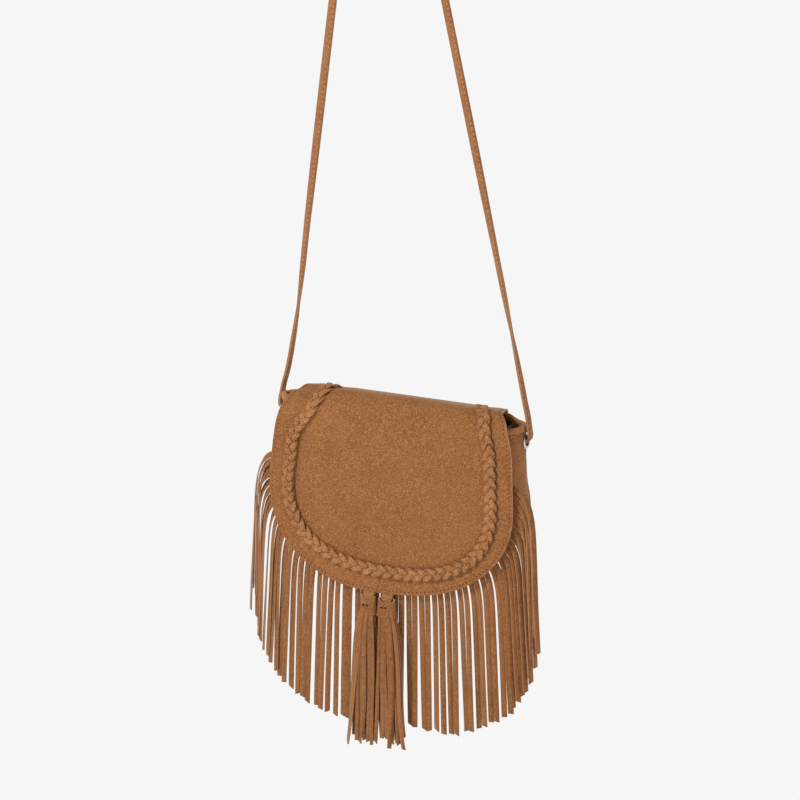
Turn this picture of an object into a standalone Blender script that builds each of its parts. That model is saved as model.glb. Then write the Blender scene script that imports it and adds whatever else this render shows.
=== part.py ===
"""Fringed suede shoulder bag, hanging closed from the bend of its strap.

Units are metres and +Z is up. The front faces -Y. The world origin is the underside of the
strap's bend, where a hook or a peg carries it. Every piece is drawn in the bag's own
coordinates, whose zero is the top of the flap's fold, and hangs below that origin on the
empty bag_frame.
"""

import math

import bmesh
import bpy
from mathutils import Matrix, Vector

# Where the bag hangs below the strap's bend.
HANG_DROP = 0.4682
BAG_ASIDE = 0.0190

# Sheets.
SUEDE = 0.0014
LINING = 0.0008
GAP = 0.0003

# Pouch: two U panels with a gusset between them, seen from the front.
PANEL_HALF = 0.1000
PANEL_WIDE_Z = -0.0700
PANEL_BOTTOM_Z = -0.1460
PANEL_TOP = [(0.0880, -0.0153), (0.0925, -0.0280), (0.0980, -0.0480)]
BOWL_POWER = 2.35
GUSSET_HALF = 0.0196
GUSSET_END_X = 0.1030
GUSSET_BULGE = 0.0030
FRONT_Y = -0.0213
BACK_Y = 0.0200

# Rolled binding round the mouth.
BINDING_RADIUS = 0.0020
BINDING_Z = -0.0132
BINDING_HALF_DEPTH = 0.0204

# Flap: a rise from the back seam, a round fold and a straight drop, measured on its outer face.
FLAP_FACE_Y = -0.0285
FOLD_RADIUS = 0.0160
FOLD_RISE = math.radians(15.0)
FLAP_REAR_Y = 0.0208
FLAP_HALF = 0.1025
FLAP_WIDE_Z = -0.0720
FLAP_BOTTOM_Z = -0.1538
FLAP_REAR_HALF = 0.0780
FLAP_SHOULDER_HALF = 0.0920
FLAP_LINING_INSET = 0.0090
HINGE_Y = 0.0214
HINGE_Z = -0.0110

# Plait sewn on the flap, as a horseshoe along its edge.
BRAID_INSET = 0.0115
BRAID_WIDTH = 0.0115
BRAID_THICK = 0.0034

# Fringe: one comb-cut band caught in the front seam.
FRINGE_Y = -0.0210
FRINGE_THICK = 0.0010
FRINGE_START_Z = -0.0480
FRINGE_SEAM_IN = 0.0060
FRINGE_HALF = 0.1195
FRINGE_SHOULDER_Z = -0.1000
FRINGE_TIP_START_Z = -0.1500
FRINGE_TIP_Z = -0.2600
FRINGE_TIP_POWER = 2.6
STRIP_PITCH = 0.0051
STRIP_SLIT = 0.0008
SLIT_BELOW_SEAM = 0.0040

# Tassels on thong loops through the flap's hem.
TASSEL_X = {"left": -0.0170, "right": -0.0010}
THONG_RADIUS = 0.0009
LOOP_HALF_DEPTH = 0.0050
LOOP_HALF_HEIGHT = 0.0055
HEM_HOLE_RADIUS = 0.0026
HEM_HOLE_Z = -0.1502
HEAD_HOLE_RADIUS = 0.0019
# Height, reach towards the other tassel, reach away from it, half depth.
TASSEL_SECTIONS = [
    (-0.1578, 0.0042, 0.0042, 0.0017),
    (-0.1600, 0.0062, 0.0062, 0.0020),
    (-0.1640, 0.0070, 0.0072, 0.0022),
    (-0.1700, 0.0074, 0.0090, 0.0034),
    (-0.1800, 0.0075, 0.0112, 0.0036),
    (-0.2100, 0.0076, 0.0128, 0.0042),
    (-0.2815, 0.0077, 0.0145, 0.0048),
]

# Strap: folded suede, drawn flat on, through an eyelet at each end of the gusset.
STRAP_WIDTH = 0.0066
STRAP_THICK = 0.0026
STRAP_POINT_STEP = 0.0165
STRAP_ROUTE = [
    (-0.0992, -0.0250),
    (-0.1038, -0.0250),
    (-0.1068, -0.0215),
    (-0.1067, -0.0120),
    (-0.1020, 0.0040),
    (-0.0954, 0.0382),
    (-0.0820, 0.1394),
    (-0.0687, 0.2398),
    (-0.0552, 0.3417),
    (-0.0408, 0.4504),
    (-0.0345, 0.4631),
    (-0.0190, 0.4695),
    (-0.0034, 0.4631),
    (0.0025, 0.4524),
    (0.0257, 0.3500),
    (0.0483, 0.2500),
    (0.0709, 0.1500),
    (0.0912, 0.0600),
    (0.1030, 0.0080),
    (0.1071, -0.0110),
    (0.1070, -0.0215),
    (0.1038, -0.0250),
    (0.0992, -0.0250),
]
KNOT_CENTRE_X = 0.0952
KNOT_HALF_LENGTH = 0.0037
KNOT_RADIUS = 0.0048

# Eyelets.
EYELET_Z = -0.0250
EYELET_HOLE_RADIUS = 0.0038
EYELET_BARREL_RADIUS = 0.0042
EYELET_FLANGE_RADIUS = 0.0060
EYELET_FLANGE = 0.0008
EYELET_LENGTH = 0.0045
WASHER_THICK = 0.0006

# Magnetic snap, behind the flap.
SNAP_Z = -0.1120
SOCKET_RADIUS = 0.0080
SOCKET_THICK = 0.0018
SOCKET_HOLE_RADIUS = 0.0032
POST_RADIUS = 0.0022
POST_LENGTH = 0.0009
POST_PLATE_RADIUS = 0.0070
POST_PLATE = 0.0005
SNAP_WASHER = 0.0006

ROUND_STEPS = 24
POUCH_CENTRE = Vector((0.0, 0.0, 0.5 * (BINDING_Z + PANEL_BOTTOM_Z)))


def clear_scene():
    for obj in list(bpy.data.objects):
        bpy.data.objects.remove(obj, do_unlink=True)


def empty(name, place, parent=None, parent_place=(0.0, 0.0, 0.0)):
    """An empty at a place in the bag's coordinates."""
    obj = bpy.data.objects.new(name, None)
    obj.empty_display_size = 0.02
    obj.parent = parent
    obj.location = Vector(place) - Vector(parent_place)
    bpy.context.scene.collection.objects.link(obj)
    return obj


def material(name, colour, roughness, metallic=0.0):
    """One Principled material, made once for each name."""
    found = bpy.data.materials.get(name)
    if found:
        return found
    made = bpy.data.materials.new(name)
    made.use_nodes = True
    made.diffuse_color = (*colour, 1.0)
    shader = made.node_tree.nodes["Principled BSDF"]
    shader.inputs["Base Color"].default_value = (*colour, 1.0)
    shader.inputs["Roughness"].default_value = roughness
    shader.inputs["Metallic"].default_value = metallic
    return made


def suede():
    return material("suede", (0.36, 0.165, 0.065), 0.95)


def braid_suede():
    return material("braid_suede", (0.42, 0.21, 0.09), 0.9)


def lining_cloth():
    return material("lining_cloth", (0.20, 0.13, 0.08), 0.85)


def steel():
    return material("nickelled_steel", (0.55, 0.56, 0.58), 0.25, 1.0)


def finish(name, data, colour, holder):
    """Links the finished data as one object, held by an empty that stands on its joint."""
    obj = bpy.data.objects.new(name, data)
    obj.data.materials.append(colour)
    parent, place = holder
    obj.parent = parent
    obj.location = -Vector(place)
    bpy.context.scene.collection.objects.link(obj)
    if obj.type == "MESH":
        data.shade_smooth()
        data.set_sharp_from_angle(angle=math.radians(35.0))
    return obj


def mesh_of(bm, name):
    """The mesh of shapes whose faces already point the right way."""
    data = bpy.data.meshes.new(name)
    bm.to_mesh(data)
    bm.free()
    return data


def closed_mesh(bm, name):
    bmesh.ops.recalc_face_normals(bm, faces=bm.faces)
    return mesh_of(bm, name)


def face_away(bm, centre):
    """Turns an open sheet's faces to look away from a point inside the bag."""
    bmesh.ops.recalc_face_normals(bm, faces=bm.faces)
    away = sum(f.calc_area() * f.normal.dot(f.calc_center_median() - centre) for f in bm.faces)
    if away < 0.0:
        bmesh.ops.reverse_faces(bm, faces=bm.faces)


def thicken(obj, thickness):
    """Gives an open sheet its thickness on the inner side of its faces."""
    solid = obj.modifiers.new("thickness", "SOLIDIFY")
    solid.thickness = thickness
    solid.offset = -1.0
    solid.use_even_offset = True


def cut(obj, cutter):
    """Takes a cutter out of a piece, and keeps the cutter out of the build."""
    cutter.hide_render = True
    cutter.display_type = "WIRE"
    hole = obj.modifiers.new("hole", "BOOLEAN")
    hole.operation = "DIFFERENCE"
    hole.solver = "EXACT"
    hole.object = cutter


def smooth_through(points, step):
    """A smooth run through the points, with a new point about every step along it."""
    spots = [Vector(p) for p in points]
    spans = [after - before for before, after in zip(spots, spots[1:])]
    ways = [spans[0].normalized()]
    for come, go in zip(spans, spans[1:]):
        weight = come.length / (come.length + go.length)
        ways.append(come.normalized() * (1.0 - weight) + go.normalized() * weight)
    ways.append(spans[-1].normalized())
    run = [spots[0]]
    for i, span in enumerate(spans):
        count = max(2, round(span.length / step))
        for k in range(1, count + 1):
            t = k / count
            start = ways[i] * span.length * (t - 2.0 * t**2 + t**3)
            stop = ways[i + 1] * span.length * (t**3 - t**2)
            run.append(spots[i] + span * (3.0 * t**2 - 2.0 * t**3) + start + stop)
    return run


def bowl_drop(x, half, depth, power):
    """How far a bowl of this half width and depth hangs below its widest line at x."""
    return depth * max(0.0, 1.0 - (abs(x) / half) ** power) ** (1.0 / power)


def u_outline(top, half, wide, bottom, steps=14):
    """A U from its top right round the bottom to its top left, as (across, up) points."""
    right = smooth_through(top + [(half, wide)], 0.012)
    for i in range(1, steps + 1):
        turn = math.radians(90.0) * i / steps
        across = half * max(0.0, math.cos(turn)) ** (2.0 / BOWL_POWER)
        down = (wide - bottom) * math.sin(turn) ** (2.0 / BOWL_POWER)
        right.append(Vector((across if i < steps else 0.0, wide - down)))
    left = [Vector((-p.x, p.y)) for p in reversed(right[:-1])]
    return right + left


def inset(outline, distance):
    """The same run moved towards the inside of the U."""
    moved = []
    for i, spot in enumerate(outline):
        ahead = outline[min(i + 1, len(outline) - 1)]
        behind = outline[max(i - 1, 0)]
        way = (ahead - behind).normalized()
        moved.append(spot + Vector((way.y, -way.x)) * distance)
    return moved


def panel_outline():
    return u_outline(PANEL_TOP, PANEL_HALF, PANEL_WIDE_Z, PANEL_BOTTOM_Z)


def plate(name, outline, front, thickness, colour, holder):
    """A flat sheet that stands in the XZ plane, cut to an outline."""
    bm = bmesh.new()
    corners = [bm.verts.new((p.x, front, p.y)) for p in outline]
    bm.faces.new(corners)
    made = bmesh.ops.extrude_face_region(bm, geom=bm.faces[:])
    moved = [g for g in made["geom"] if isinstance(g, bmesh.types.BMVert)]
    bmesh.ops.translate(bm, vec=(0.0, thickness, 0.0), verts=moved)
    return finish(name, closed_mesh(bm, name), colour, holder)


def grid_sheet(name, rows, columns, place, thickness, colour, holder):
    """An open grid whose points the function place(row, column) sets, then thickened."""
    bm = bmesh.new()
    bmesh.ops.create_grid(bm, x_segments=rows, y_segments=columns, size=0.5)
    for vert in bm.verts:
        vert.co = place(vert.co.x + 0.5, vert.co.y + 0.5)
    face_away(bm, POUCH_CENTRE)
    obj = finish(name, mesh_of(bm, name), colour, holder)
    thicken(obj, thickness)
    return obj


def turned(name, profile, place, turn, colour, holder):
    """A closed (radius, height) section spun round local Z, then turned and placed."""
    bm = bmesh.new()
    corners = [bm.verts.new((radius, 0.0, height)) for radius, height in profile]
    edges = [bm.edges.new(pair) for pair in zip(corners, corners[1:] + corners[:1])]
    bmesh.ops.spin(
        bm, geom=corners + edges, cent=(0.0, 0.0, 0.0), axis=(0.0, 0.0, 1.0),
        angle=math.tau, steps=ROUND_STEPS, use_duplicate=False,
    )
    bmesh.ops.remove_doubles(bm, verts=bm.verts, dist=1e-6)
    bmesh.ops.transform(bm, matrix=Matrix.Translation(place) @ turn, verts=bm.verts)
    return finish(name, closed_mesh(bm, name), colour, holder)


def rod(name, radius, start, stop, holder):
    """A plain round bar from start to stop, for cutting holes."""
    start, stop = Vector(start), Vector(stop)
    along = stop - start
    bm = bmesh.new()
    bmesh.ops.create_cone(
        bm, cap_ends=True, segments=ROUND_STEPS, radius1=radius, radius2=radius, depth=along.length,
    )
    spin = along.to_track_quat("Z", "Y").to_matrix().to_4x4()
    bmesh.ops.transform(bm, matrix=Matrix.Translation((start + stop) / 2.0) @ spin, verts=bm.verts)
    return finish(name, closed_mesh(bm, name), steel(), holder)


def facing_along_x(side):
    """Turns local +Z to look out of the bag at this end."""
    return Matrix.Rotation(side * math.radians(90.0), 4, "Y")


def front_panel(holder):
    plate("front_panel", panel_outline(), FRONT_Y - SUEDE, SUEDE, suede(), holder)


def back_panel(holder):
    plate("back_panel", panel_outline(), BACK_Y, SUEDE, suede(), holder)


def gusset(holder):
    """The strip round the sides and bottom, bulging out more towards the mouth's ends."""
    seam = panel_outline()
    outward = [a - b for a, b in zip(seam, inset(seam, 1.0))]
    rows = len(seam) - 1

    def place(row, column):
        i = round(row * rows)
        across = math.radians(180.0) * (column - 0.5)
        bulge = outward[i] * GUSSET_BULGE
        if seam[i].y > PANEL_WIDE_Z:
            bulge = Vector((math.copysign(GUSSET_END_X, seam[i].x) - seam[i].x, 0.0))
        spot = seam[i] + bulge * math.cos(across)
        return Vector((spot.x, GUSSET_HALF * math.sin(across), spot.y))

    obj = grid_sheet("gusset", rows, 8, place, SUEDE, suede(), holder)
    for side in (-1, 1):
        cutter = rod(
            f"eyelet_cutter_{side}", EYELET_BARREL_RADIUS + GAP,
            (side * 0.095, 0.0, EYELET_Z), (side * 0.110, 0.0, EYELET_Z), holder,
        )
        cut(obj, cutter)


def mouth_binding(holder):
    """A rolled edge that runs along the tops of the panels and of the gusset."""
    straight = PANEL_TOP[0][0]
    end = GUSSET_END_X - SUEDE / 2.0 - straight
    steps = 10
    loop = []
    for side in (1, -1):
        for i in range(steps + 1):
            turn = math.radians(180.0) * (i / steps - 0.5)
            across = side * (straight + end * math.cos(turn))
            loop.append((across, side * BINDING_HALF_DEPTH * math.sin(turn), BINDING_Z))
    ring("mouth_binding", loop, BINDING_RADIUS, suede(), holder)


def ring(name, points, radius, colour, holder):
    """A round bar bent into a closed loop through the points."""
    curve = bpy.data.curves.new(name, "CURVE")
    curve.dimensions = "3D"
    curve.bevel_depth = radius
    curve.bevel_resolution = 2
    spline = curve.splines.new("POLY")
    spline.points.add(len(points) - 1)
    for point, spot in zip(spline.points, points):
        point.co = (*spot, 1.0)
    spline.use_cyclic_u = True
    return finish(name, curve, colour, holder)


def lining(holder):
    """A thin cloth pouch, open at the top, just inside the panels and the gusset."""
    outline = inset(panel_outline(), 0.0022)
    bm = bmesh.new()
    front = GUSSET_HALF - 0.0010
    corners = [bm.verts.new((p.x, -front, p.y)) for p in outline]
    bm.faces.new(corners)
    made = bmesh.ops.extrude_face_region(bm, geom=bm.faces[:])
    moved = [g for g in made["geom"] if isinstance(g, bmesh.types.BMVert)]
    bmesh.ops.translate(bm, vec=(0.0, 2.0 * front, 0.0), verts=moved)
    bmesh.ops.recalc_face_normals(bm, faces=bm.faces)
    bm.faces.ensure_lookup_table()
    lid = max(bm.faces, key=lambda face: face.normal.z)
    bmesh.ops.delete(bm, geom=[lid], context="FACES_ONLY")
    thicken(finish("lining", mesh_of(bm, "lining"), lining_cloth(), holder), LINING)


def seam_z(x):
    """The height of the panels' lower edge at x."""
    return PANEL_WIDE_Z - bowl_drop(x, PANEL_HALF, PANEL_WIDE_Z - PANEL_BOTTOM_Z, BOWL_POWER)


def shoulder_z(x):
    """The height of the fringe's outer shoulder, beside the pouch."""
    start = PANEL_HALF - 0.0020
    out = max(0.0, (abs(x) - start) / (FRINGE_HALF - start))
    rise = FRINGE_START_Z - FRINGE_SHOULDER_Z
    return FRINGE_SHOULDER_Z + rise * math.sqrt(max(0.0, 1.0 - out**2))


def slit_top(x):
    if abs(x) < PANEL_HALF - 0.0030:
        return seam_z(x) - SLIT_BELOW_SEAM
    return shoulder_z(x) - 2.0 * SLIT_BELOW_SEAM


def tip_z(x):
    drop = FRINGE_TIP_START_Z - FRINGE_TIP_Z
    return FRINGE_TIP_START_Z - bowl_drop(x, FRINGE_HALF + 0.0015, drop, FRINGE_TIP_POWER)


def fringe(holder):
    """One band of suede, caught in the front seam and cut into strips from below."""
    inner = [p for p in inset(panel_outline(), FRINGE_SEAM_IN) if p.y < FRINGE_START_Z]
    start = PANEL_HALF - 0.0020
    steps = 6
    left = []
    for i in range(steps + 1):
        x = -start - (FRINGE_HALF - start) * math.sin(math.radians(90.0) * i / steps)
        left.append(Vector((x, shoulder_z(x))))
    count = int(2.0 * FRINGE_HALF / STRIP_PITCH)
    pitch = (2.0 * FRINGE_HALF + STRIP_SLIT) / count
    comb = []
    for i in range(count):
        low = -FRINGE_HALF + i * pitch
        high = low + pitch - STRIP_SLIT
        tip = tip_z((low + high) / 2.0)
        if i:
            comb.append(Vector((low, slit_top(low))))
        comb.append(Vector((low, tip)))
        comb.append(Vector((high, tip + 0.0012)))
        if i < count - 1:
            comb.append(Vector((high, slit_top(high))))
    right = [Vector((-p.x, p.y)) for p in reversed(left)]
    plate("fringe", inner + left + comb + right, FRINGE_Y, FRINGE_THICK, suede(), holder)


def fold_place(across, along, offset):
    """A point of the flap, from its flat pattern onto the fold.

    along is 0 at the back seam and grows more negative down the flap. offset is the height
    above the flap's outer face.
    """
    centre_y = FLAP_FACE_Y + FOLD_RADIUS
    centre_z = -FOLD_RADIUS
    rise = rise_length()
    arc = fold_length()
    gone = -along
    if gone < rise:
        back = rise - gone
        y = centre_y + (FOLD_RADIUS + offset) * math.sin(FOLD_RISE) + back * math.cos(FOLD_RISE)
        z = centre_z + (FOLD_RADIUS + offset) * math.cos(FOLD_RISE) - back * math.sin(FOLD_RISE)
        return Vector((across, y, z))
    if gone < rise + arc:
        turn = (gone - rise) / FOLD_RADIUS - FOLD_RISE
        y = centre_y - (FOLD_RADIUS + offset) * math.sin(turn)
        z = centre_z + (FOLD_RADIUS + offset) * math.cos(turn)
        return Vector((across, y, z))
    return Vector((across, FLAP_FACE_Y - offset, centre_z - (gone - rise - arc)))


def rise_length():
    """From the back seam up to the start of the round fold."""
    start = FLAP_FACE_Y + FOLD_RADIUS + FOLD_RADIUS * math.sin(FOLD_RISE)
    return (FLAP_REAR_Y - start) / math.cos(FOLD_RISE)


def fold_length():
    return FOLD_RADIUS * (math.radians(90.0) + FOLD_RISE)


def pattern_of(z):
    """Where a height on the flap's straight drop lies on its flat pattern."""
    return z + FOLD_RADIUS - rise_length() - fold_length()


def flap_pattern():
    """The flap's flat outline: narrow at the seam, square at the shoulders, a bowl below."""
    shoulder = -rise_length()
    top = [
        (FLAP_REAR_HALF, 0.0),
        (FLAP_SHOULDER_HALF - 0.0030, shoulder),
        (FLAP_SHOULDER_HALF, shoulder - 0.5 * fold_length()),
        (FLAP_SHOULDER_HALF + 0.0040, pattern_of(-0.0240)),
        (FLAP_HALF - 0.0015, pattern_of(-0.0500)),
    ]
    return u_outline(top, FLAP_HALF, pattern_of(FLAP_WIDE_Z), pattern_of(FLAP_BOTTOM_Z))


def folded(name, pattern, offset, thickness, colour, holder):
    """Cuts a sheet to a flat pattern and bends it over the fold."""
    bm = bmesh.new()
    corners = [bm.verts.new((p.x, p.y, 0.0)) for p in pattern]
    bm.faces.new(corners)
    bends = [-rise_length() * i / 3 for i in range(1, 4)]
    bends += [-rise_length() - fold_length() * i / 8 for i in range(1, 9)]
    for bend in bends:
        bmesh.ops.bisect_plane(
            bm, geom=bm.verts[:] + bm.edges[:] + bm.faces[:], dist=1e-6,
            plane_co=(0.0, bend, 0.0), plane_no=(0.0, 1.0, 0.0),
        )
    for vert in bm.verts:
        vert.co = fold_place(vert.co.x, vert.co.y, offset)
    face_away(bm, POUCH_CENTRE)
    obj = finish(name, mesh_of(bm, name), colour, holder)
    thicken(obj, thickness)
    return obj


def flap(holder):
    obj = folded("flap", flap_pattern(), 0.0, SUEDE, suede(), holder)
    for side, x in TASSEL_X.items():
        cutter = rod(
            f"hem_cutter_{side}", HEM_HOLE_RADIUS,
            (x, FLAP_FACE_Y - 0.004, HEM_HOLE_Z), (x, FLAP_FACE_Y + 0.004, HEM_HOLE_Z), holder,
        )
        cut(obj, cutter)


def flap_lining(holder):
    pattern = inset(flap_pattern(), FLAP_LINING_INSET)
    folded("flap_lining", pattern, -SUEDE - GAP, LINING, suede(), holder)


def flap_braid(holder):
    """The plait's band, with both legs carried over the fold to the back seam."""
    outer = inset(flap_pattern(), BRAID_INSET)
    inner = inset(flap_pattern(), BRAID_INSET + BRAID_WIDTH)
    horseshoe = outer + inner[::-1]
    folded("flap_braid", horseshoe, GAP + BRAID_THICK, BRAID_THICK, braid_suede(), holder)


def tassel(side, holder):
    """A rolled, comb-cut tassel with a flat tab, pierced for its thong."""
    out = 1.0 if side == "right" else -1.0
    bm = bmesh.new()
    rows = []
    for height, inner, outer, half_depth in TASSEL_SECTIONS:
        row = bmesh.ops.create_circle(bm, segments=16, radius=1.0)["verts"]
        for vert in row:
            vert.co = Vector((
                TASSEL_X[side] + out * (outer - inner) / 2.0 + (inner + outer) / 2.0 * vert.co.x,
                loop_centre_y() + half_depth * vert.co.y,
                height,
            ))
        rows.append(row)
    for upper, lower in zip(rows, rows[1:]):
        for i, vert in enumerate(upper):
            after = (i + 1) % len(upper)
            bm.faces.new((vert, upper[after], lower[after], lower[i]))
    bm.faces.new(rows[0])
    bm.faces.new(rows[-1])
    obj = finish(f"tassel_{side}", closed_mesh(bm, "tassel"), suede(), holder)
    height = HEM_HOLE_Z - 2.0 * LOOP_HALF_HEIGHT
    x = TASSEL_X[side]
    cutter = rod(
        f"head_cutter_{side}", HEAD_HOLE_RADIUS,
        (x, loop_centre_y() - 0.006, height), (x, loop_centre_y() + 0.006, height), holder,
    )
    cut(obj, cutter)


def loop_centre_y():
    return FLAP_FACE_Y + SUEDE / 2.0


def tassel_thong(side, holder):
    """A thong tied in a loop through the flap's hem and the tassel's tab."""
    steps = 20
    points = []
    for i in range(steps):
        turn = math.tau * i / steps
        y = loop_centre_y() + LOOP_HALF_DEPTH * math.sin(turn)
        z = HEM_HOLE_Z - LOOP_HALF_HEIGHT * (1.0 - math.cos(turn))
        points.append((TASSEL_X[side], y, z))
    ring(f"tassel_thong_{side}", points, THONG_RADIUS, braid_suede(), holder)


def strap(holder):
    """The strap's flat section swept along its route, in the plane between the panels."""
    route = smooth_through(STRAP_ROUTE, STRAP_POINT_STEP)
    curve = bpy.data.curves.new("strap", "CURVE")
    curve.dimensions = "3D"
    curve.twist_mode = "MINIMUM"
    curve.bevel_depth = STRAP_THICK / 2.0
    curve.extrude = (STRAP_WIDTH - STRAP_THICK) / 2.0
    curve.bevel_resolution = 2
    curve.use_fill_caps = True
    spline = curve.splines.new("POLY")
    spline.points.add(len(route) - 1)
    for point, spot in zip(spline.points, route):
        point.co = (spot.x, 0.0, spot.y, 1.0)
        point.tilt = math.radians(90.0)
    finish("strap", curve, suede(), holder)


def strap_knot(side, name, holder):
    """The strap's end, knotted inside the bag so that it can't pull out of the eyelet."""
    bm = bmesh.new()
    bmesh.ops.create_uvsphere(bm, u_segments=16, v_segments=10, radius=1.0)
    size = Matrix.Diagonal((KNOT_HALF_LENGTH, KNOT_RADIUS, KNOT_RADIUS, 1.0))
    place = Matrix.Translation((side * KNOT_CENTRE_X, 0.0, EYELET_Z))
    bmesh.ops.transform(bm, matrix=place @ size, verts=bm.verts)
    finish(f"strap_knot_{name}", closed_mesh(bm, "strap_knot"), suede(), holder)


def eyelet(side, name, holder):
    """A flanged barrel from outside, and the washer that it is set into on the inside."""
    face = GUSSET_END_X + GAP
    low = EYELET_FLANGE - EYELET_LENGTH
    section = [
        (EYELET_HOLE_RADIUS, low),
        (EYELET_BARREL_RADIUS, low),
        (EYELET_BARREL_RADIUS, 0.0),
        (EYELET_FLANGE_RADIUS, 0.0),
        (EYELET_FLANGE_RADIUS - 0.0002, 0.6 * EYELET_FLANGE),
        (EYELET_FLANGE_RADIUS - 0.0008, EYELET_FLANGE),
        (EYELET_HOLE_RADIUS + 0.0005, EYELET_FLANGE),
        (EYELET_HOLE_RADIUS, 0.6 * EYELET_FLANGE),
    ]
    place = (side * face, 0.0, EYELET_Z)
    turned(f"eyelet_{name}", section, place, facing_along_x(side), steel(), holder)
    top = -GAP - SUEDE - 3.0 * GAP
    washer = [
        (EYELET_BARREL_RADIUS + GAP, top - WASHER_THICK),
        (EYELET_FLANGE_RADIUS, top - WASHER_THICK),
        (EYELET_FLANGE_RADIUS, top),
        (EYELET_BARREL_RADIUS + GAP, top),
    ]
    turned(f"eyelet_washer_{name}", washer, place, facing_along_x(side), steel(), holder)


def snap_socket(holder):
    """The snap's socket on the front panel, with its washer behind the suede."""
    out = Matrix.Rotation(math.radians(90.0), 4, "X")
    place = (0.0, FRONT_Y - SUEDE - GAP, SNAP_Z)
    floor = SOCKET_THICK - POST_LENGTH - 2.0 * GAP
    section = [
        (0.0, 0.0),
        (SOCKET_RADIUS, 0.0),
        (SOCKET_RADIUS, SOCKET_THICK - 0.0003),
        (SOCKET_RADIUS - 0.0003, SOCKET_THICK),
        (SOCKET_HOLE_RADIUS, SOCKET_THICK),
        (SOCKET_HOLE_RADIUS, floor),
        (0.0, floor),
    ]
    turned("snap_socket", section, place, out, steel(), holder)
    washer = [
        (0.0025, 0.0),
        (0.7 * SOCKET_RADIUS, 0.0),
        (0.7 * SOCKET_RADIUS, SNAP_WASHER),
        (0.0025, SNAP_WASHER),
    ]
    place = (0.0, FRONT_Y + GAP + SNAP_WASHER, SNAP_Z)
    turned("snap_socket_washer", washer, place, out, steel(), holder)


def snap_post(holder):
    """The snap's post under the flap, reaching loosely into the socket."""
    inward = Matrix.Rotation(math.radians(-90.0), 4, "X")
    place = (0.0, FLAP_FACE_Y + SUEDE + GAP + LINING + GAP, SNAP_Z)
    section = [
        (0.0, 0.0),
        (POST_PLATE_RADIUS, 0.0),
        (POST_PLATE_RADIUS, POST_PLATE),
        (POST_RADIUS, POST_PLATE),
        (POST_RADIUS, POST_PLATE + GAP + POST_LENGTH),
        (0.0, POST_PLATE + GAP + POST_LENGTH),
    ]
    turned("snap_post", section, place, inward, steel(), holder)


def main():
    clear_scene()
    nowhere = (0.0, 0.0, 0.0)
    frame = empty("bag_frame", (BAG_ASIDE, 0.0, -HANG_DROP))
    bag = (frame, nowhere)
    hinge_place = (0.0, HINGE_Y, HINGE_Z)
    hinge = empty("flap_hinge", hinge_place, frame)
    lid = (hinge, hinge_place)

    front_panel(bag)
    back_panel(bag)
    gusset(bag)
    mouth_binding(bag)
    lining(bag)
    fringe(bag)
    snap_socket(bag)
    strap(bag)
    for side, name in ((-1, "left"), (1, "right")):
        eyelet(side, name, bag)
        strap_knot(side, name, bag)

    flap(lid)
    flap_lining(lid)
    flap_braid(lid)
    snap_post(lid)
    for name, x in TASSEL_X.items():
        pivot_place = (x, loop_centre_y(), HEM_HOLE_Z)
        pivot = empty(f"tassel_pivot_{name}", pivot_place, hinge, hinge_place)
        tassel(name, (pivot, pivot_place))
        tassel_thong(name, (pivot, pivot_place))


main()
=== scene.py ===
import math
import random

import bmesh
import bpy
import numpy as np
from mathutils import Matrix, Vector, noise


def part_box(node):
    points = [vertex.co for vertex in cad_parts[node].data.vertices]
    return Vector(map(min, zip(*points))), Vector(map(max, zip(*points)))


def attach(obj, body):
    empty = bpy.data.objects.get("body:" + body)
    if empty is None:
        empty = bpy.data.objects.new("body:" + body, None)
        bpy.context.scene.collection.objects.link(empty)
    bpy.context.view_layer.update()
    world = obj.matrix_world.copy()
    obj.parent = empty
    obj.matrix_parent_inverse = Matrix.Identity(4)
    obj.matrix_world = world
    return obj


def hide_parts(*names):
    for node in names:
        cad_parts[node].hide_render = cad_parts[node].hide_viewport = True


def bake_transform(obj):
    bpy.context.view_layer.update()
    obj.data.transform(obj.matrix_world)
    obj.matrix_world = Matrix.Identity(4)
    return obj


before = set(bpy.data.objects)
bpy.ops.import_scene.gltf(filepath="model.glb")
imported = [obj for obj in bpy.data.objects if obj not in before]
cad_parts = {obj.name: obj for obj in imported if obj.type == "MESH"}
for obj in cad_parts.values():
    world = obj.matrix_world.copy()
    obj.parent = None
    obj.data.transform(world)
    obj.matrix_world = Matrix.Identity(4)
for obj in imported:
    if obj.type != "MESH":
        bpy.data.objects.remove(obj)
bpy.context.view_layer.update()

# Every maker draws in the bag's own metres: zero is the top of the flap's fold, halfway across the pouch.
panelLow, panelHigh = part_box("front_panel")
bagPlace = Vector(((panelLow.x + panelHigh.x) / 2, 0, panelLow.z + 0.146))

bag = {
    "panelTop": [(0.0880, -0.0153), (0.0925, -0.0280), (0.0980, -0.0480)],
    "panelHalf": 0.1000,
    "panelWide": -0.0700,  # height of the pouch's widest line
    "panelBottom": -0.1460,
    "bowlPower": 2.35,  # 2 is an ellipse, more is squarer
    "frontY": -0.0227,
    "backY": 0.0214,
    "wall": 0.0014,  # the suede's thickness
    "gussetEnd": 0.1030,
    "gussetDepth": 0.0205,  # half of it
    "bulge": 0.0030,
    "eyelet": -0.0250,  # height of both eyelets
}


# The camera, the floor and the light.
def hexColour(text):
    parts = [int(text[i:i + 2], 16) / 255 for i in (1, 3, 5)]
    return (*[p / 12.92 if p <= 0.04045 else ((p + 0.055) / 1.055) ** 2.4 for p in parts], 1)


def addNode(tree, kind, settings=None, links=None):
    node = tree.nodes.new(kind)
    for name, value in (settings or {}).items():
        if isinstance(name, int) or name in node.inputs:
            node.inputs[name].default_value = value
        else:
            setattr(node, name, value)
    for name, socket in (links or {}).items():
        tree.links.new(socket, node.inputs[name])
    return node


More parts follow.
